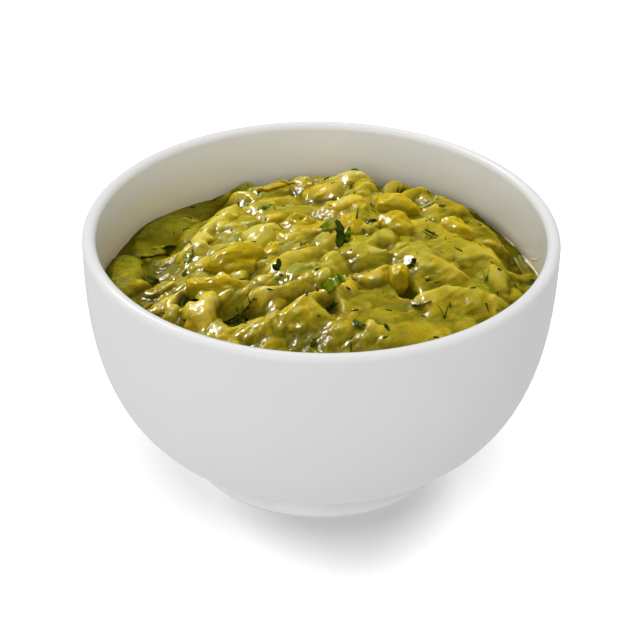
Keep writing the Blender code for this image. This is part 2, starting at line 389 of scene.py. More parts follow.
def moundBase(x, y):
    # the line where the paste meets the wall, and the mound's plain form above it
    turn = np.arctan2(y, x)
    swing = mash["wallSwing"] * (0.6 * np.sin(2 * turn + 0.5) + 0.4 * np.sin(5 * turn + 2.0))
    edge = mash["wallLevel"] + swing * held(np.hypot(x, y) / 16) ** 2
    away = np.hypot((x - mash["centre"][0]) / mash["radii"][0], (y - mash["centre"][1]) / mash["radii"][1])
    return edge, edge + mash["rise"] * (1 - np.minimum(away, 1) ** mash["power"])


def raiseCap(relief, tones, x, y, lump, crease=1.0, square=2.2, ground=0.0):
    # an egg-shaped cap, rounder than a cone and with steep sides, pressed into the paste
    lumpX, lumpY, length, width, rise, turn, tone = lump
    near = (abs(x - lumpX) < max(length, width)) & (abs(y - lumpY) < max(length, width))
    u, v = alongWay(x[near] - lumpX, y[near] - lumpY, turn)
    distance = np.hypot(u / (length / 2), v / (width / 2))
    half = rise * 1.25
    cap = ground + rise - half + half * np.maximum(1 - distance ** square, 0) ** (1 / square)
    cap -= 2 * np.maximum(distance - 1, 0)
    before = relief[near]
    after = easedMax(before, cap, crease)
    relief[near] = after
    share = held(cap - before)
    tones[near] = tones[near] * (1 - share) + tone * share


def raiseWave(relief, tones, x, y, wave, crease=0.8):
    # a fold of paste along its crest, steep behind and easy in front
    crest, front, behind, rise = wave
    nearest = np.full(len(x), 1e9)
    side, reach, done = np.zeros(len(x)), np.zeros(len(x)), 0.0
    for (startX, startY), (endX, endY) in zip(crest, crest[1:]):
        length = math.hypot(endX - startX, endY - startY)
        alongX, alongY = (endX - startX) / length, (endY - startY) / length
        along = np.clip((x - startX) * alongX + (y - startY) * alongY, 0, length)
        offX, offY = x - startX - alongX * along, y - startY - alongY * along
        away = np.hypot(offX, offY)
        closer = away < nearest
        nearest[closer] = away[closer]
        side[closer] = np.sign(alongX * offY - alongY * offX)[closer]
        reach[closer] = (done + along)[closer]
        done += length
    uneven = 1 + 0.4 * grain(reach, reach * 0 + crest[0][0], 6, crest[0][1])
    distance = nearest / (np.where(side > 0, behind, front) * uneven)
    steep = np.maximum(1 - distance ** 2, 0) ** 0.75
    easy = 0.5 + 0.5 * np.cos(math.pi * np.minimum(distance, 1))
    slope = np.where(side > 0, steep, easy)
    ends = held(np.minimum(reach, done - reach) / 4 + 0.4)
    cap = rise * uneven * ends * slope - np.maximum(distance - 1, 0)
    share = held(cap - relief)
    tones[:] = tones * (1 - share) + 0.6 * share
    relief[:] = easedMax(relief, cap, crease)


def brokenBy(x, y, sizes, seed, stretch=1.0):
    # rough noise summed from coarse to fine, each size in mm with its own height
    total = np.zeros(len(x))
    for number, (size, height) in enumerate(sizes):
        total += height * grain(x, y, size, seed + 3.1 * number, stretch, mash["flow"])
    return total


def blobs(x, y, size, seed):
    # packed round blobs, 1 at each middle and 0 where they meet
    cells = [noise.voronoi((a, b, seed))[0] for a, b in zip((x / size).tolist(), (y / size).tolist())]
    return np.clip([(pair[1] - pair[0]) for pair in cells], 0, 0.6) / 0.6


def mashRelief(x, y):
    # height above the mound's plain form, and how golden the flesh is, for arrays of places in mm
    warpX = x + brokenBy(x, y, ((9, 1.7), (4, 0.7), (2, 0.25)), 1.5)
    warpY = y + brokenBy(x, y, ((9, 1.7), (4, 0.7), (2, 0.25)), 21.5)
    relief = 0.6 * grain(x, y, 12, 3.5)
    tones = 0.4 + 0.35 * grain(x, y, 10, 4.5)
    for wave in mash["waves"]:
        raiseWave(relief, tones, warpX, warpY, wave)
    for lump in mash["lumps"]:
        raiseCap(relief, tones, warpX, warpY, lump)
    for node, (length, width, height, turn) in avocadoLumps["sizes"].items():
        low, high = [Vector(corner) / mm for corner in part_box(node)]
        middle = (low + high) / 2
        ground = moundBase(np.array([middle.x]), np.array([middle.y]))[1][0]
        level = high.z - avocadoLumps["shows"] * height - ground
        raiseCap(relief, tones, x, y, (middle.x, middle.y, length * 1.15, width * 1.15, level, turn, 0.7))
    smooth = np.zeros(len(x))
    for patchX, patchY, radius in mash["smoothPatches"]:
        away = np.hypot(warpX - patchX, warpY - patchY)
        smooth = np.maximum(smooth, held(1.6 - 1.3 * away / radius))
    chance = random.Random(mash["seed"])
    for count, longest, tallest, crease in mash["looseLumps"]:
        for _ in range(count):
            turn, share = chance.uniform(0, 2 * math.pi), math.sqrt(chance.random())
            lumpX, lumpY = 58 * share * math.cos(turn), 58 * share * math.sin(turn)
            length, rise = longest * chance.uniform(0.45, 1.0), tallest * chance.uniform(0.25, 1.0)
            nearest = np.argmin((warpX - lumpX) ** 2 + (warpY - lumpY) ** 2)
            here, rise = relief[nearest], rise * (1 - 0.8 * smooth[nearest])
            lump = (lumpX, lumpY, length, length * chance.uniform(0.5, 0.85), rise,
                    mash["flow"] + chance.gauss(0, 35), chance.random())
            raiseCap(relief, tones, warpX, warpY, lump, crease, 2.0, here)
    for hollowX, hollowY, width, depth in mash["hollows"]:
        distance = np.hypot(warpX - hollowX, warpY - hollowY) / (width * 0.65)
        relief -= depth * np.maximum(1 - distance ** 2, 0) ** 2
    rough = np.clip(0.6 + 1.3 * grain(x, y, 9, 6.5), 0.15, 1) * (1 - 0.85 * smooth)
    wetX, wetY = x + 0.8 * grain(x, y, 3, 30.5), y + 0.8 * grain(x, y, 3, 31.5)
    relief += rough * (0.30 * blobs(wetX, wetY, 3.4, 0.5) + 0.14 * blobs(wetX, wetY, 1.8, 4.5) - 0.3)
    relief += brokenBy(x, y, ((5, 0.35), (2.4, 0.15)), 40.5, 1.6) * (0.5 + 0.5 * rough)
    return relief, held(tones)


def discGrid(cells):
    # a square of points drawn out evenly to a disc of radius 1
    line = np.linspace(-1, 1, cells + 1)
    a, b = [side.ravel() for side in np.meshgrid(line, line)]
    wide = abs(a) > abs(b)
    radius = np.where(wide, a, b)
    with np.errstate(divide="ignore", invalid="ignore"):
        turn = np.where(wide, math.pi / 4 * b / a, math.pi / 2 - math.pi / 4 * a / b)
    turn = np.nan_to_num(turn)
    return radius * np.cos(turn), radius * np.sin(turn)


def mashMesh():
    # the uneven top as a grid drawn out to a disc, then rings of faces down the wall to the floor
    cells = mash["cells"]
    diskX, diskY = discGrid(cells)
    share = np.hypot(diskX, diskY)
    turn = np.arctan2(diskY, diskX)
    edge, _ = moundBase(60 * np.cos(turn), 60 * np.sin(turn))
    edgeRadius = innerRadius(edge)
    x, y = diskX * edgeRadius, diskY * edgeRadius
    relief, tones = mashRelief(x, y)
    _, base = moundBase(x, y)
    settle = held((1 - share) * edgeRadius / 3.0)      # the last 3 mm ease into the wall
    height = base + relief * (0.35 + 0.65 * settle)
    outer = share > 0.9999
    reach = np.where(outer, innerRadius(height) + 0.3, np.hypot(x, y))
    x, y = reach * np.cos(turn), reach * np.sin(turn)
    count = cells + 1
    grid = np.arange(count * count).reshape(count, count)
    quads = np.stack([grid[:-1, :-1], grid[:-1, 1:], grid[1:, 1:], grid[1:, :-1]], -1).reshape(-1, 4)
    points = np.stack([x, y, height], -1)
    rim = np.concatenate([grid[0, :-1], grid[:-1, -1], grid[-1, :0:-1], grid[:0:-1, 0]])
    rings, faces = [rim], [quads]
    for level in (0.93, 0.82, 0.66, 0.48, 0.30, 0.15, 0.05):
        ringZ = bowl["floorHeight"] + (points[rim, 2] - bowl["floorHeight"]) * level
        ringR = innerRadius(ringZ) + 0.3
        ring = np.stack([ringR * np.cos(turn[rim]), ringR * np.sin(turn[rim]), ringZ], -1)
        rings.append(np.arange(len(points), len(points) + len(rim)))
        points = np.concatenate([points, ring])
        upper, lower = rings[-2], rings[-1]
        faces.append(np.stack([np.roll(upper, -1), upper, lower, np.roll(lower, -1)], -1))
    points = np.concatenate([points, [[0, 0, bowl["floorHeight"] - 0.2]]])
    last = rings[-1]
    fan = np.stack([np.roll(last, -1), last, np.full(len(last), len(points) - 1)], -1)
    mesh = meshFrom("mashedAvocado", (points * mm).tolist(),
                    [face for part in (*faces, fan) for face in part.tolist()])
    # darker towards the front; painted shade: darker in the creases, at the far left where the wall's shadow
    # falls and along the wall at the back right; painted light: paler on crests and at the left of the middle
    crease = sunkBelow(height.reshape(count, count)) + 0.3 * held((-y - 14) / 24)
    crease += 0.4 * held((-x - 42) / 14)
    backRight = np.clip((x - 5) / 20, 0, 0.9) * held((y - 8) / 12)
    crease += backRight * held((np.hypot(x, y) - 42) / 10)
    crease -= 0.3 * np.exp(-((x + 27) ** 2 + (y - 10) ** 2) / 300)
    wet = wetness(x, y)
    for name, values in (("tone", tones), ("crease", crease), ("wet", wet)):
        data = np.zeros(len(points))
        data[:len(values)] = values
        layer = mesh.attributes.new(name, "FLOAT", "POINT")
        layer.data.foreach_set("value", data)
    wrinkle(mesh, share, wet)
    return mesh


def sunkBelow(height):
    # how far each place lies below what is round it, near and wide, from -1 on crests to 1 in cracks:
    # rounds of smoothing, the depth in mm that counts as deep, and its share
    smooth, sunk = height.copy(), np.zeros(height.shape)
    for passes, depth, weight in ((10, 0.4, 0.2), (60, 1.2, 0.3), (500, 3.0, 0.6)):
        for _ in range(passes):
            padded = np.pad(smooth, 1, mode="edge")
            smooth = (padded[:-2, 1:-1] + padded[2:, 1:-1] + padded[1:-1, :-2] + padded[1:-1, 2:]) / 4
        sunk += weight * np.clip((smooth - height) / depth, -1.2, 1.2)
    return np.clip(sunk, -1, 1).ravel()


def wetness(x, y):
    # 1 in a film of juice and 0 where the paste has drained dull
    wet = 0.22 + 0.6 * grain(x, y, 6, 50.5)
    for patchX, patchY, radius in mash["wetPatches"]:
        away = np.hypot(x - patchX, y - patchY) / radius
        wet = np.maximum(wet, 1.3 - away + 0.4 * grain(x, y, 4, 51.5))
    return held(wet)


def wrinkle(mesh, share, wet):
    # fine uneven skin, moved out along the surface so that steep sides have it too
    places = np.zeros(len(mesh.vertices) * 3)
    mesh.vertices.foreach_get("co", places)
    outward = np.zeros(len(mesh.vertices) * 3)
    mesh.vertices.foreach_get("normal", outward)
    places, outward = places.reshape(-1, 3) / mm, outward.reshape(-1, 3)
    count = len(share)
    along, across = alongWay(places[:count, 0], places[:count, 1], mash["flow"])
    along, move = along / 2.2, np.zeros(count)
    for size, height in mash["wrinkles"]:
        move += height * np.array([noise.noise((a / size, b / size, c / size)) for a, b, c in
                                   zip(along.tolist(), across.tolist(), places[:count, 2].tolist())])
    move *= held((1 - share) * 20) * (0.25 + 0.75 * wet)
    places[:count] += outward[:count] * move[:, None]
    mesh.vertices.foreach_set("co", (places * mm).ravel())
    mesh.update()


def wetFlesh(name, dark, green, middle, golden, pale):
    # oily flesh crushed wet: light goes a few millimetres in, and a film of juice shines on top
    material, tree, shader = newMaterial(name, {
        "Roughness": 0.6, "IOR": 1.38, "Specular IOR Level": 0.0, "Coat Roughness": 0.27, "Coat IOR": 1.12,
        "Subsurface Weight": 0.7, "Subsurface Radius": (1.0, 0.8, 0.1), "Subsurface Scale": 0.0032})
    place = addNode(tree, "ShaderNodeTexCoord").outputs["Object"]
    tone, crease, wet = [attributeOf(tree, part) for part in ("tone", "crease", "wet")]
    # green to golden in soft mottles, paler in crumbs of pulp; painted light makes crests paler and painted
    # shade makes the creases dark
    mottled = combined(tree, tone, noiseOf(tree, place, 3.5, 4.0, 0.6), "ADD")
    flesh = ramped(tree, scaled(tree, mottled, 0.5, 1.55), green, golden, (0.45, middle))
    pulp = scaled(tree, noiseOf(tree, place, 1.1, 3.0, 0.6), 0.3, 0.72, 0.0, 0.16)
    crest = scaled(tree, crease, -0.25, -0.9, 0.0, 0.4)
    pulpAndLitCrests = blended(tree, combined(tree, pulp, crest, "ADD"), flesh, fromHex(pale))
    colour = blended(tree, scaled(tree, crease, -0.35, 0.6, 0.0, 0.9), pulpAndLitCrests, fromHex(dark))
    tree.links.new(colour, shader.inputs["Base Color"])
    # the film is drawn out the way the spoon went, and broken up
    turned = addNode(tree, "ShaderNodeMapping", {
        "Vector": place, "Rotation": (0, 0, -math.radians(mash["flow"]))}).outputs[0]
    drawn = addNode(tree, "ShaderNodeMapping", {"Vector": turned, "Scale": (0.17, 1.0, 1.0)}).outputs[0]
    ripple, streaks = noiseOf(tree, drawn, 2.2, 0.0, twist=0.4), noiseOf(tree, drawn, 1.2, 1.0, twist=0.5)
    film, drops = scaled(tree, wet, 0.1, 0.45, 0.35), scaled(tree, streaks, 0.42, 0.56, 0.25)
    tree.links.new(combined(tree, film, drops, use_clamp=True), shader.inputs["Coat Weight"])
    streaked = bumped(tree, streaks, wet, 0.22, bumped(tree, ripple, wet, 1.1))
    dry = scaled(tree, wet, 0.0, 1.0, 0.7, 0.05)
    bump = bumped(tree, noiseOf(tree, place, 0.8), dry, 0.25, streaked)
    for socket in ("Normal", "Coat Normal"):
        tree.links.new(bump, shader.inputs[socket])
    return material


mashPiece = addPiece("mash", mashMesh(), [wetFlesh("mashedAvocado", *mash["colours"])])
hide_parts("guacamole")
print("mash raised")


def lumpsMesh():
    # uneven balls, one for each lump, in the boxes of the nodes that they stand for
    bm = bmesh.new()
    tone, wet = bm.verts.layers.float.new("tone"), bm.verts.layers.float.new("wet")
    for number, (node, (length, width, height, turn)) in enumerate(avocadoLumps["sizes"].items()):
        low, high = [Vector(corner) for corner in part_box(node)]
        made = bmesh.ops.create_icosphere(bm, subdivisions=avocadoLumps["detail"], radius=1.0)["verts"]
        seed = Vector((number * 3.7, 1.3, 5.1))
        half = Vector((length, width, height)) * mm / 2
        for vert in made:
            way = vert.co.copy()
            swell = 1 + avocadoLumps["unevenness"] * noise.noise(way * 1.1 + seed)
            swell += 0.10 * noise.noise(way * 2.3 + seed) + 0.04 * noise.noise(way * 5 + seed)
            swell += 0.015 * noise.noise(way * 11 + seed)
            vert.co = Vector([way[i] * half[i] * swell for i in range(3)])
            vert[tone] = 0.75 + 0.5 * noise.noise(way * 1.5 - seed)
            vert[wet] = min(max(0.4 + 1.4 * noise.noise(way * 2 + seed * 2), 0), 1)
        bmesh.ops.rotate(bm, verts=made, matrix=Matrix.Rotation(math.radians(turn), 3, "Z"))
        bmesh.ops.translate(bm, verts=made, vec=(low + high) / 2)
    return finished(bm, "avocadoLumps")


lumpsPiece = addPiece("avocadoLumps", lumpsMesh(), [wetFlesh("ripeAvocado", *avocadoLumps["colours"])])
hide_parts(*avocadoLumps["sizes"])
print("lumps laid")


# ---- herbs: coriander and dill, torn small and folded in, most of it dark and wet

herbs = {
    "sunk": 0.1,            # how far a bit lies in the paste, in mm
    "leafGrowth": 1.25,     # how much larger all leaves are made
    # greens: how far from dark to pale, colour; the dark end is also painted shade and the pale end painted
    # light
    "greens": ((0.0, "#161c00"), (0.35, "#3c4e00"), (0.7, "#728410"), (1.0, "#bcbe78")),
    # torn leaves: x, y, heading in degrees, length, width, lift of the far end in degrees, and shade
    # from 0 dark to 1 pale, the leaf's own green with painted shade in the dark ones and painted light in the
    # pale ones
    "leaves": [
        (-46, 19.5, 30, 4.5, 2.2, 12, 0.7), (-43.5, 17, 100, 3, 1.6, 10, 0.3),
        (-40, 27, 20, 2, 1.2, 10, 0.3), (-37.7, 4.8, 60, 3.2, 2, 15, 0.75),
        (-37.5, -2.2, 80, 2, 1.4, 20, 0.2), (-48.5, -0.5, 50, 3.8, 2.6, 30, 0.1),
        (-36.8, -20.5, 80, 3.6, 2.4, 30, 0.1), (-34.6, -21.5, 20, 3, 1.6, 10, 0.05),
        (-10.4, 50.8, 5, 3, 1.6, 12, 0.4), (-23.5, -27.8, 20, 4, 2.4, 10, 0.15),
        (-20.5, -28.3, 60, 3, 1.8, 20, 0.1), (-18.5, 29.6, 15, 3.4, 1.6, 5, 0.5),
        (-0.5, 14, -20, 2, 1.2, 10, 0.15), (0.8, 9.5, 75, 4.6, 2.6, 30, 0.55),
        (5, 2, 84, 7.4, 3, 26, 0.12), (6.8, 4, 60, 4, 1.8, 30, 0.3), (13, 16.5, 40, 2.6, 1.6, 15, 0.1),
        (-12.2, -11.4, 70, 2.8, 1.8, 35, 0.1), (0.6, -20, 8, 5.6, 3, 22, 0.7),
        (1.8, -24, 30, 4.2, 2.8, 20, 0.1), (29.5, 31, 10, 2.2, 1.2, 15, 0.1),
        (33.8, 30.5, 50, 2.2, 1.2, 15, 0.1), (48.5, -0.2, 0, 1.2, 0.9, 10, 0.1),
        (23.7, -9, 84, 3.4, 1.5, 40, 0), (25.6, -16.2, 108, 4.8, 2, 30, 0),
        (24.4, -20.4, -8, 4.4, 2.4, 12, 0.15), (8.1, 39.9, 30, 2, 1.2, 20, 0.2),
        (8.4, -31.4, -28, 3.2, 1.8, 15, 0.15), (57.4, 1.8, 40, 2.4, 1.6, 25, 0.1),
        (-2, -39, 70, 2.2, 1.2, 20, 0.2), (40, 24, 20, 2, 1.2, 10, 0.3), (18, -34, 120, 2, 1, 15, 0.2),
        (-29, 30, 70, 2.2, 1.2, 15, 0.2),
    ],
    # needles: x, y, heading, length, lift, shade
    "needles": [
        (-36.8, 12, -76, 4, 5, 0), (-36, 9, -100, 2.6, 10, 0.1), (-26.5, 37.5, 62, 3.4, 30, 0.2),
        (-26.5, 37.5, 112, 2.8, 30, 0.25), (-26.5, 37.5, -95, 2.6, 0, 0.1),
        (-24.8, 38.5, 80, 2.6, 35, 0.3), (-25.6, 19, -70, 5.2, 0, 0), (-13.7, 30.5, -75, 4, 0, 0.1),
        (9.8, 15, 88, 4.6, 40, 0), (-1.6, -12.2, 40, 1.8, 10, 0.05), (-0.7, -20.6, 100, 1.8, 10, 0.05),
        (21.4, 39.5, 130, 3.6, 62, 0.15), (22, 40, 95, 4.4, 70, 0.3), (22.5, 39.8, 60, 4.2, 66, 0.2),
        (23, 39.4, 30, 3.6, 55, 0.35), (28.6, 14.2, -42, 5.4, 8, 0.65), (29.2, 15.4, -40, 5, 6, 0.1),
        (31.6, 14.4, -110, 3.4, 8, 0.2), (28.2, -9.6, 14, 3.8, 12, 0.85), (28.4, -10.4, 18, 3, 4, 0.2),
        (45.1, -6.6, 88, 5.2, 22, 0.5), (33, -25.2, 112, 4.2, 20, 0.4), (33, -25.2, 78, 4, 22, 0.3),
        (8, -38.2, -84, 4.2, 4, 0.3), (44.5, -16.6, -70, 2.6, 8, 0.1), (56.6, 18.6, -84, 5, 8, 0.7),
        (-50.5, 8, 60, 2.6, 10, 0.1), (-6, 3.5, 20, 2.4, 5, 0.1), (39, 4, 150, 2.6, 6, 0.4),
        (-31, -12, 30, 2.2, 5, 0.1), (14, 30, -60, 3, 5, 0.1),
    ],
    # fronds of dill: x, y, heading, length, length of the threads, shade
    "fronds": [(-25.5, -26.5, 36, 10, 3.2, 0.05), (28.4, 30.5, 46, 8, 2.6, 1.0)],
    # stalks: points along the paste, thickness, shade
    "stalks": [
        (((-51, 13), (-48.6, 12.6), (-46.6, 15.4), (-43, 18.5)), 0.75, 0.05),
        (((9, 49), (12, 50.5), (15.7, 50.5)), 0.45, 0.05),
        (((-26, -26), (-22, -23), (-17.5, -21)), 0.5, 0.0),
    ],
    # brown fibres of the avocado's flesh, as the stalks
    "fibres": [
        (((-19.3, 43), (-17.2, 43.4), (-15.2, 45.7), (-13.8, 47.2), (-12, 48.3), (-10.9, 49.4)), 1.1, 0.5),
        (((-12.4, 51), (-10, 50.6), (-7.8, 50)), 0.8, 0.5),
    ],
    # specks scattered over the paste by Geometry Nodes
    "speckSpacing": 8.0,
    "speckLength": 1.3,
    "speckSeed": 4,
}


def onPaste(x, y):
    # the place and the outward way of the paste, or of a lump in it, straight below x, y in mm
    start, down = Vector((x * mm, y * mm, 0.1)), Vector((0, 0, -1))
    hits = [piece.ray_cast(start, down) for piece in (mashPiece, lumpsPiece)]
    return max([hit[1:3] for hit in hits if hit[0]], key=lambda found: found[0].z)


def loft(bm, rings, shades):
    # a closed skin through rings of points, from one end to the other, with a shade for each ring
    layer = bm.verts.layers.float["shade"]
    made = []
    for ring, shade in zip(rings, shades):
        made.append([bm.verts.new(point) for point in ring])
        for vert in made[-1]:
            vert[layer] = shade
    for one, two in zip(made, made[1:]):
        for i in range(len(one)):
            bm.faces.new((one[i - 1], one[i], two[i], two[i - 1]))
    bm.faces.new(made[0])
    bm.faces.new(reversed(made[-1]))


def frameAt(x, y, heading, lift, roll=0.0):
    # a place on the paste with the ways forward, sideways and up for a bit that lies there
    place, normal = onPaste(x, y)
    forward = Vector((*wayOf(heading), 0))
    forward = (forward - normal * forward.dot(normal)).normalized()
    side = normal.cross(forward)
    turn = Matrix.Rotation(-math.radians(lift), 3, side)
    forward, normal = turn @ forward, turn @ normal
    turn = Matrix.Rotation(math.radians(roll), 3, forward)
    return place - normal * herbs["sunk"] * mm, forward, turn @ side, turn @ normal


def tornLeaf(bm, x, y, heading, length, width, lift, shade, chance):
    # a ragged leaf, folded along its middle and thicker there
    place, forward, side, normal = frameAt(x, y, heading, lift, chance.gauss(0, 22))
    length, width = length * herbs["leafGrowth"], width * herbs["leafGrowth"]
    rings, shades, steps = [], [], 9
    bend, fold = chance.uniform(-0.2, 0.5), chance.uniform(0.1, 0.5)
    for step in range(steps + 1):
        u = step / steps
        half = width / 2 * (math.sin(math.pi * (0.06 + 0.88 * u) ** 0.8) ** 0.6 * chance.uniform(0.7, 1.15))
        lean = chance.uniform(-0.12, 0.12) * width
        up = -bend * length * (u - 0.3) ** 2
        ring = []
        for t, thick in ((-1, 0), (-0.5, 1), (0, 1.4), (0.5, 1), (1, 0), (0.5, -1), (0, -1), (-0.5, -1)):
            height = up + fold * half * abs(t) + 0.07 * thick
            ring.append(place + (forward * length * u + side * (half * t + lean) + normal * height) * mm)
        rings.append(ring)
        shades.append(min(max(shade + chance.gauss(0, 0.15), 0), 1))
    loft(bm, rings, shades)


def strand(bm, points, thickness, shade, chance):
    # a thin round strand through points in metres, tapering to its far end
    rings, shades = [], []
    for number, point in enumerate(points):
        ahead = points[min(number + 1, len(points) - 1)] - points[max(number - 1, 0)]
        side = ahead.cross(Vector((0.3, 0.2, 1))).normalized()
        over = side.cross(ahead).normalized()
        radius = thickness / 2 * mm * (1 - 0.75 * number / (len(points) - 1)) * chance.uniform(0.85, 1.15)
        rings.append([point + (side * math.cos(a) + over * math.sin(a)) * radius
                      for a in (i * math.pi / 3 for i in range(6))])
        shades.append(min(max(shade + chance.gauss(0, 0.1), 0), 1))
    loft(bm, rings, shades)


def needle(bm, x, y, heading, length, lift, shade, chance, thickness=0.58):
    # one thread of dill, bent down and to a side
    place, forward, side, normal = frameAt(x, y, heading, lift)
    bend, sway = chance.uniform(0.0, 0.25), chance.uniform(-0.15, 0.15)
    points = [place + (forward * length * u + normal * (0.15 - bend * length * u * u)
                       + side * sway * length * u * u) * mm for u in (0, 0.2, 0.4, 0.6, 0.8, 1.0)]
    strand(bm, points, thickness, shade, chance)


def layOn(points, rise):
    # points in mm made into a run of places that follow the paste
    run = []
    for (startX, startY), (endX, endY) in zip(points, points[1:]):
        overX, overY = endX - startX, endY - startY
        steps = max(2, round(math.hypot(overX, overY) / 0.8))
        run += [(startX + overX * i / steps, startY + overY * i / steps) for i in range(steps)]
    run.append(points[-1])
    return [onPaste(x, y)[0] + Vector((0, 0, rise * mm)) for x, y in run]


def herbMesh(name, build):
    # the mesh of what build puts into it, closed skins with a shade at each point
    bm = bmesh.new()
    bm.verts.layers.float.new("shade")
    build(bm)
    bmesh.ops.recalc_face_normals(bm, faces=bm.faces)
    return finished(bm, name)


def buildLeaves(bm):
    chance = random.Random(5)
    for leaf in herbs["leaves"]:
        tornLeaf(bm, *leaf, chance)


def buildDill(bm):
    chance = random.Random(6)
    for one in herbs["needles"]:
        needle(bm, *one, chance)
    for x, y, heading, length, thread, shade in herbs["fronds"]:
        wayX, wayY = wayOf(heading)
        strand(bm, layOn([(x, y), (x + wayX * length, y + wayY * length)], 0.3), 0.5, shade, chance)
        for number in range(int(length / 0.9)):
            at = (number + 0.5) * 0.9
            spread = 48 if number % 2 else -48
            needle(bm, x + wayX * at, y + wayY * at, heading + spread + chance.gauss(0, 14),
                   thread * chance.uniform(0.7, 1.2), chance.uniform(5, 30), shade, chance, 0.44)
    for points, thickness, shade in herbs["stalks"]:
        strand(bm, layOn(points, 0.25), thickness, shade, chance)


def buildFibres(bm):
    chance = random.Random(9)
    for points, thickness, shade in herbs["fibres"]:
        strand(bm, layOn(points, 0.2), thickness, shade, chance)


def freshHerb():
    # wet leaf, coloured by its shade: its own green, with painted shade near black and painted light fresh
    # green, paler where it is thin
    material, tree, shader = newMaterial("freshHerb", {
        "Roughness": 0.5, "IOR": 1.35, "Specular IOR Level": 0.0,
        "Coat Weight": 0.6, "Coat Roughness": 0.08, "Coat IOR": 1.12})
    (_, first), *others, (_, last) = herbs["greens"]
    colour = ramped(tree, attributeOf(tree, "shade"), first, last, *others)
    tree.links.new(colour, shader.inputs["Base Color"])
    return material


def brownedFlesh():
    # a fibre of avocado that has met the air
    return newMaterial("brownedFlesh", {"Base Color": fromHex("#a4760c"), "Roughness": 0.6, "IOR": 1.35,
                                        "Specular IOR Level": 0.0})[0]


herbGreen = freshHerb()
for name, build in (("herbLeaves", buildLeaves), ("dillSprigs", buildDill)):
    addPiece(name, herbMesh(name, build), [herbGreen])
addPiece("brownFibres", herbMesh("brownFibres", buildFibres), [brownedFlesh()])
print("herbs laid")


# ---- juice: lime juice and oil drained into the gap on the right, with a raised edge up the wall, and pale smears on the wall and along the edge that are painted highlights

juice = {
    "from": -16, "to": 30,      # degrees round the bowl
    "reach": 3.0,               # how far it comes in from the wall, in mm
    "level": -0.3,              # of its middle, against the paste beside it
    "edge": 0.7,                # how high it climbs the wall
    "poolColour": "#665c08",
    "smearHighlightColour": "#cdc69c",
    # smears of juice on the wall, coloured pale as painted highlights: degrees round and height of each
    # point, thickness
    "smears": [
        (((11.5, 53.4), (9.0, 54.8), (6.5, 56.4), (5.8, 57.8)), 0.6),
        (((-8, 58.5), (-7.2, 57.6)), 0.5),
        (((25, 50.0), (20, 50.3), (17, 50.8), (14, 51.4)), 0.8),
        (((15, 50.9), (11, 51.5), (7, 52.3), (3, 53.1)), 1.2),
    ],
}


def aroundWall(degrees, z, inward=0.0):
    wayX, wayY = wayOf(degrees)
    radius = innerRadius(z) - inward
    return Vector((radius * wayX, radius * wayY, z)) * mm


def buildPool(bm):
    # a narrow strip along the wall, level with the paste beside it, with a raised edge on the wall
    turns = [juice["from"] + i for i in range(juice["to"] - juice["from"] + 1)]
    radius = innerRadius(52.0) - 1.0
    found = [onPaste(radius * wayX, radius * wayY)[0].z / mm for wayX, wayY in map(wayOf, turns)]
    rings = []
    for i, degrees in enumerate(turns):
        share = math.sin(math.pi * (i + 0.5) / len(turns)) ** 0.5
        around = found[max(i - 5, 0):i + 6]
        level, edge = sum(around) / len(around) + juice["level"] * share, juice["edge"] * share
        reach = juice["reach"] * share
        ring = [aroundWall(degrees, level + edge * (1 - t) ** 2.2, -0.1 + reach * t ** 1.6)
                for t in (0, 0.12, 0.25, 0.4, 0.55, 0.7, 0.85, 1)]
        ring += [aroundWall(degrees, level - 0.8, reach), aroundWall(degrees, level - 0.8, -0.1)]
        rings.append(ring)
    loft(bm, rings, [0.5] * len(rings))


def buildSmears(bm):
    chance = random.Random(8)
    for points, thickness in juice["smears"]:
        strand(bm, [aroundWall(degrees, z, 0.05) for degrees, z in points], thickness, 0.5, chance)


def limeJuice(name, colour):
    # thin sour juice with oil in it: the colour of what shows through, under a soft shine; on the smears a
    # pale colour that is a painted highlight
    return newMaterial(name, {"Base Color": fromHex(colour), "Roughness": 0.5, "IOR": 1.34,
                              "Specular IOR Level": 0.0, "Coat Weight": 0.8, "Coat IOR": 1.12,
                              "Coat Roughness": 0.2})[0]


for name, build, colour in (("juicePool", buildPool, juice["poolColour"]),
                            ("juiceSmears", buildSmears, juice["smearHighlightColour"])):
    addPiece(name, herbMesh(name, build), [limeJuice(name, colour)])
print("juice poured")


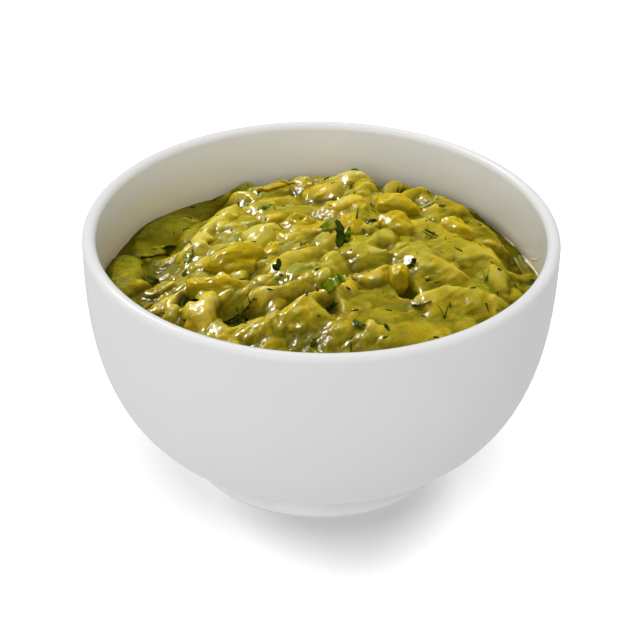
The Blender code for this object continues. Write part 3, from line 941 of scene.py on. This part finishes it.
def speckScatter():
    # a torn bit repeated over the paste that it is given, turned and sized at random
    tree = bpy.data.node_groups.new("speckScatter", "GeometryNodeTree")
    tree.interface.new_socket("Paste", in_out="INPUT", socket_type="NodeSocketGeometry")
    tree.interface.new_socket("Specks", in_out="OUTPUT", socket_type="NodeSocketGeometry")
    for label, kind in (("Spacing", "Float"), ("Seed", "Int"), ("Speck", "Object"), ("Material", "Material")):
        tree.interface.new_socket(label, in_out="INPUT", socket_type="NodeSocket" + kind)
    given = addNode(tree, "NodeGroupInput").outputs
    way = addNode(tree, "GeometryNodeInputNormal").outputs["Normal"]
    up = addNode(tree, "ShaderNodeSeparateXYZ", {"Vector": way}).outputs["Z"]
    facingUp = addNode(tree, "FunctionNodeCompare", {"A": up, "B": 0.3}, data_type="FLOAT",
                       operation="GREATER_THAN")
    points = addNode(tree, "GeometryNodeDistributePointsOnFaces", {
        "Mesh": given["Paste"], "Selection": facingUp.outputs["Result"], "Distance Min": given["Spacing"],
        "Density Max": 60000.0, "Density Factor": 1.0, "Seed": given["Seed"]}, distribute_method="POISSON")
    spin = addNode(tree, "FunctionNodeRandomValue", {"Min": 0.0, "Max": 6.283, "Seed": 1}, data_type="FLOAT")
    about = addNode(tree, "ShaderNodeCombineXYZ", {"Z": spin.outputs[1]})
    turned = addNode(tree, "FunctionNodeRotateRotation", {
        "Rotation": points.outputs["Rotation"], "Rotate By": about.outputs[0]}, rotation_space="LOCAL")
    size = addNode(tree, "FunctionNodeRandomValue", {"Min": 0.45, "Max": 1.5, "Seed": 2}, data_type="FLOAT")
    bits = addNode(tree, "GeometryNodeObjectInfo", {"Object": given["Speck"]})
    strewn = addNode(tree, "GeometryNodeInstanceOnPoints", {
        "Points": points.outputs["Points"], "Instance": bits.outputs["Geometry"],
        "Rotation": turned.outputs[0], "Scale": size.outputs[1]})
    plain = addNode(tree, "GeometryNodeRealizeInstances", {"Geometry": strewn.outputs[0]})
    coloured = addNode(tree, "GeometryNodeSetMaterial", {
        "Geometry": plain.outputs[0], "Material": given["Material"]})
    end = addNode(tree, "NodeGroupOutput")
    tree.links.new(coloured.outputs[0], end.inputs["Specks"])
    return tree


def buildSpeck(bm):
    # one flat bit, pointed at both ends
    length, thickness = herbs["speckLength"] * mm, 0.16 * mm
    rings = [[Vector((length * (u - 0.5), half * t * length, lift * thickness))
              for t, lift in ((-1, 0), (0, 1.3), (1, 0.2), (0, -0.8))]
             for u, half in ((0, 0.04), (0.3, 0.16), (0.6, 0.22), (1, 0.05))]
    loft(bm, rings, [0.05, 0.2, 0.35, 0.1])


def meshOf(owner, tree, values):
    # the plain mesh that a node tree makes on an object
    modifier = owner.modifiers.new(tree.name, "NODES")
    modifier.node_group = tree
    for socket in tree.interface.items_tree:
        if socket.in_out == "INPUT" and socket.name in values:
            modifier[socket.identifier] = values[socket.name]
    graph = bpy.context.evaluated_depsgraph_get()
    mesh = bpy.data.meshes.new_from_object(owner.evaluated_get(graph), preserve_all_data_layers=True,
                                           depsgraph=graph)
    owner.modifiers.remove(modifier)
    return mesh


speckHolder = placed("speckShape", herbMesh("speckShape", buildSpeck))
pasteHolder = placed("pasteSkin", mashPiece.data)
specks = meshOf(pasteHolder, speckScatter(), {
    "Spacing": herbs["speckSpacing"] * mm, "Seed": herbs["speckSeed"], "Speck": speckHolder,
    "Material": herbGreen})
for helper in (speckHolder, pasteHolder):
    bpy.data.objects.remove(helper)
specks.name = "herbSpecks"
addPiece("herbSpecks", specks, [])
print("specks scattered, faces:", len(specks.polygons))


# ---- floor, light and camera

studio = {
    "floorSize": 12.0,          # in metres
    "ceilingStrength": 0.78,
    "wallStrength": 0.5,
    "bounceStrength": 0.68,     # what the table sends back up
    "windowSide": 0.14,         # how much brighter the room is on its left than on its right
    # lamps: where the light comes from, its strength, how wide it looks in degrees, if it shades
    # as well as shines, and what it falls on
    "lamps": {
        "keySoftbox": ((-0.22, 0.50, 0.84), 2.7, 16, True, ("food",)),
        "bowlSoftbox": ((-0.22, 0.50, 0.84), 0.6, 30, True, ("bowl",)),
        "frontSoftbox": ((-0.25, -0.85, 0.50), 0.66, 40, True, ("bowl",)),
        "rightSoftbox": ((0.80, -0.20, 0.56), 0.18, 40, True, ("bowl",)),
        "leftSoftbox": ((-0.85, -0.15, 0.50), 0.1, 40, True, ("bowl",)),
        "glintSoftbox": ((-0.50, 0.48, 0.72), 70.0, 7, False, ("food",)),
        "lipSoftbox": ((-0.50, 0.48, 0.72), 0.8, 24, False, ("bowl",)),
        "tableLeft": ((-0.82, 0.47, 0.33), 3.7, 24, True, ("table",)),
        "tableRight": ((0.58, 0.69, 0.44), 2.9, 24, True, ("table",)),
    },
}
view = {
    "lens": 105.0,
    "distance": 0.5244,         # in metres, as the height
    "elevation": 32.54,         # in degrees, as the roll
    "roll": 0.99,
    "aimHeight": 0.03964,
}


def whiteFloor():
    # a board that glows paper white, a painted light, and glows less near the bowl, which paints shade round
    # its foot
    material, tree, shader = newMaterial("glowingBoard", {
        "Base Color": fromHex("#dedede"), "Roughness": 0.7, "Specular IOR Level": 0.2,
        "Emission Color": (1, 1, 1, 1)})
    place = addNode(tree, "ShaderNodeTexCoord").outputs["Object"]
    away = addNode(tree, "ShaderNodeVectorMath", {0: place}, operation="LENGTH").outputs["Value"]
    tree.links.new(scaled(tree, away, 43 * mm, 85 * mm, 0.11, 0.7), shader.inputs["Emission Strength"])
    return material


floorMesh = meshFrom("floor", [(x * studio["floorSize"] / 2, y * studio["floorSize"] / 2, 0)
                               for x, y in ((-1, -1), (1, -1), (1, 1), (-1, 1))], [(0, 1, 2, 3)])
floorMesh.materials.append(whiteFloor())
floor = placed("floor", floorMesh)
floor.visible_diffuse = False       # its bounce and its reflection are the lower half of the surround
floor.visible_glossy = False

world = bpy.data.worlds.new("studio")
bpy.context.scene.world = world
world.use_nodes = True
tree = world.node_tree
way = addNode(tree, "ShaderNodeTexCoord").outputs["Generated"]
axes = addNode(tree, "ShaderNodeSeparateXYZ", {"Vector": way}).outputs
above = scaled(tree, axes["Z"], 0.0, 1.0, studio["wallStrength"], studio["ceilingStrength"])
below = scaled(tree, axes["Z"], -0.1, 0.0, studio["bounceStrength"], above)
side = scaled(tree, axes["X"], -1.0, 1.0, 1 + studio["windowSide"], 1 - studio["windowSide"])
tree.links.new(combined(tree, below, side), tree.nodes["Background"].inputs["Strength"])
tree.nodes["Background"].inputs["Color"].default_value = (1, 1, 1, 1)

groups = {"table": [floor], "bowl": [bowlPiece],
          "food": [piece for piece in bpy.context.scene.objects if piece not in (floor, bowlPiece)]}
for name, (way, strength, width, shades, falls) in studio["lamps"].items():
    lamp = bpy.data.lights.new(name, "SUN")
    lamp.energy, lamp.angle = strength, math.radians(width)
    holder = placed(name, lamp)
    holder.rotation_euler = Vector(way).to_track_quat("Z", "Y").to_euler()
    holder.visible_diffuse = shades
    holder.light_linking.receiver_collection = bpy.data.collections.new(name)
    for piece in [piece for group in falls for piece in groups[group]]:
        holder.light_linking.receiver_collection.objects.link(piece)

camera = bpy.data.cameras.new("camera")
camera.lens = view["lens"]
camera.sensor_width = 36
holder = placed("camera", camera)
tilt = math.radians(90 - view["elevation"])
turn = Matrix.Rotation(tilt, 4, "X") @ Matrix.Rotation(math.radians(view["roll"]), 4, "Z")
away = turn @ Vector((0, 0, view["distance"]))
holder.matrix_world = Matrix.Translation(Vector((0, 0, view["aimHeight"])) + away) @ turn
bpy.context.scene.camera = holder

bpy.context.scene.view_settings.view_transform = "Standard"
print("studio lit")
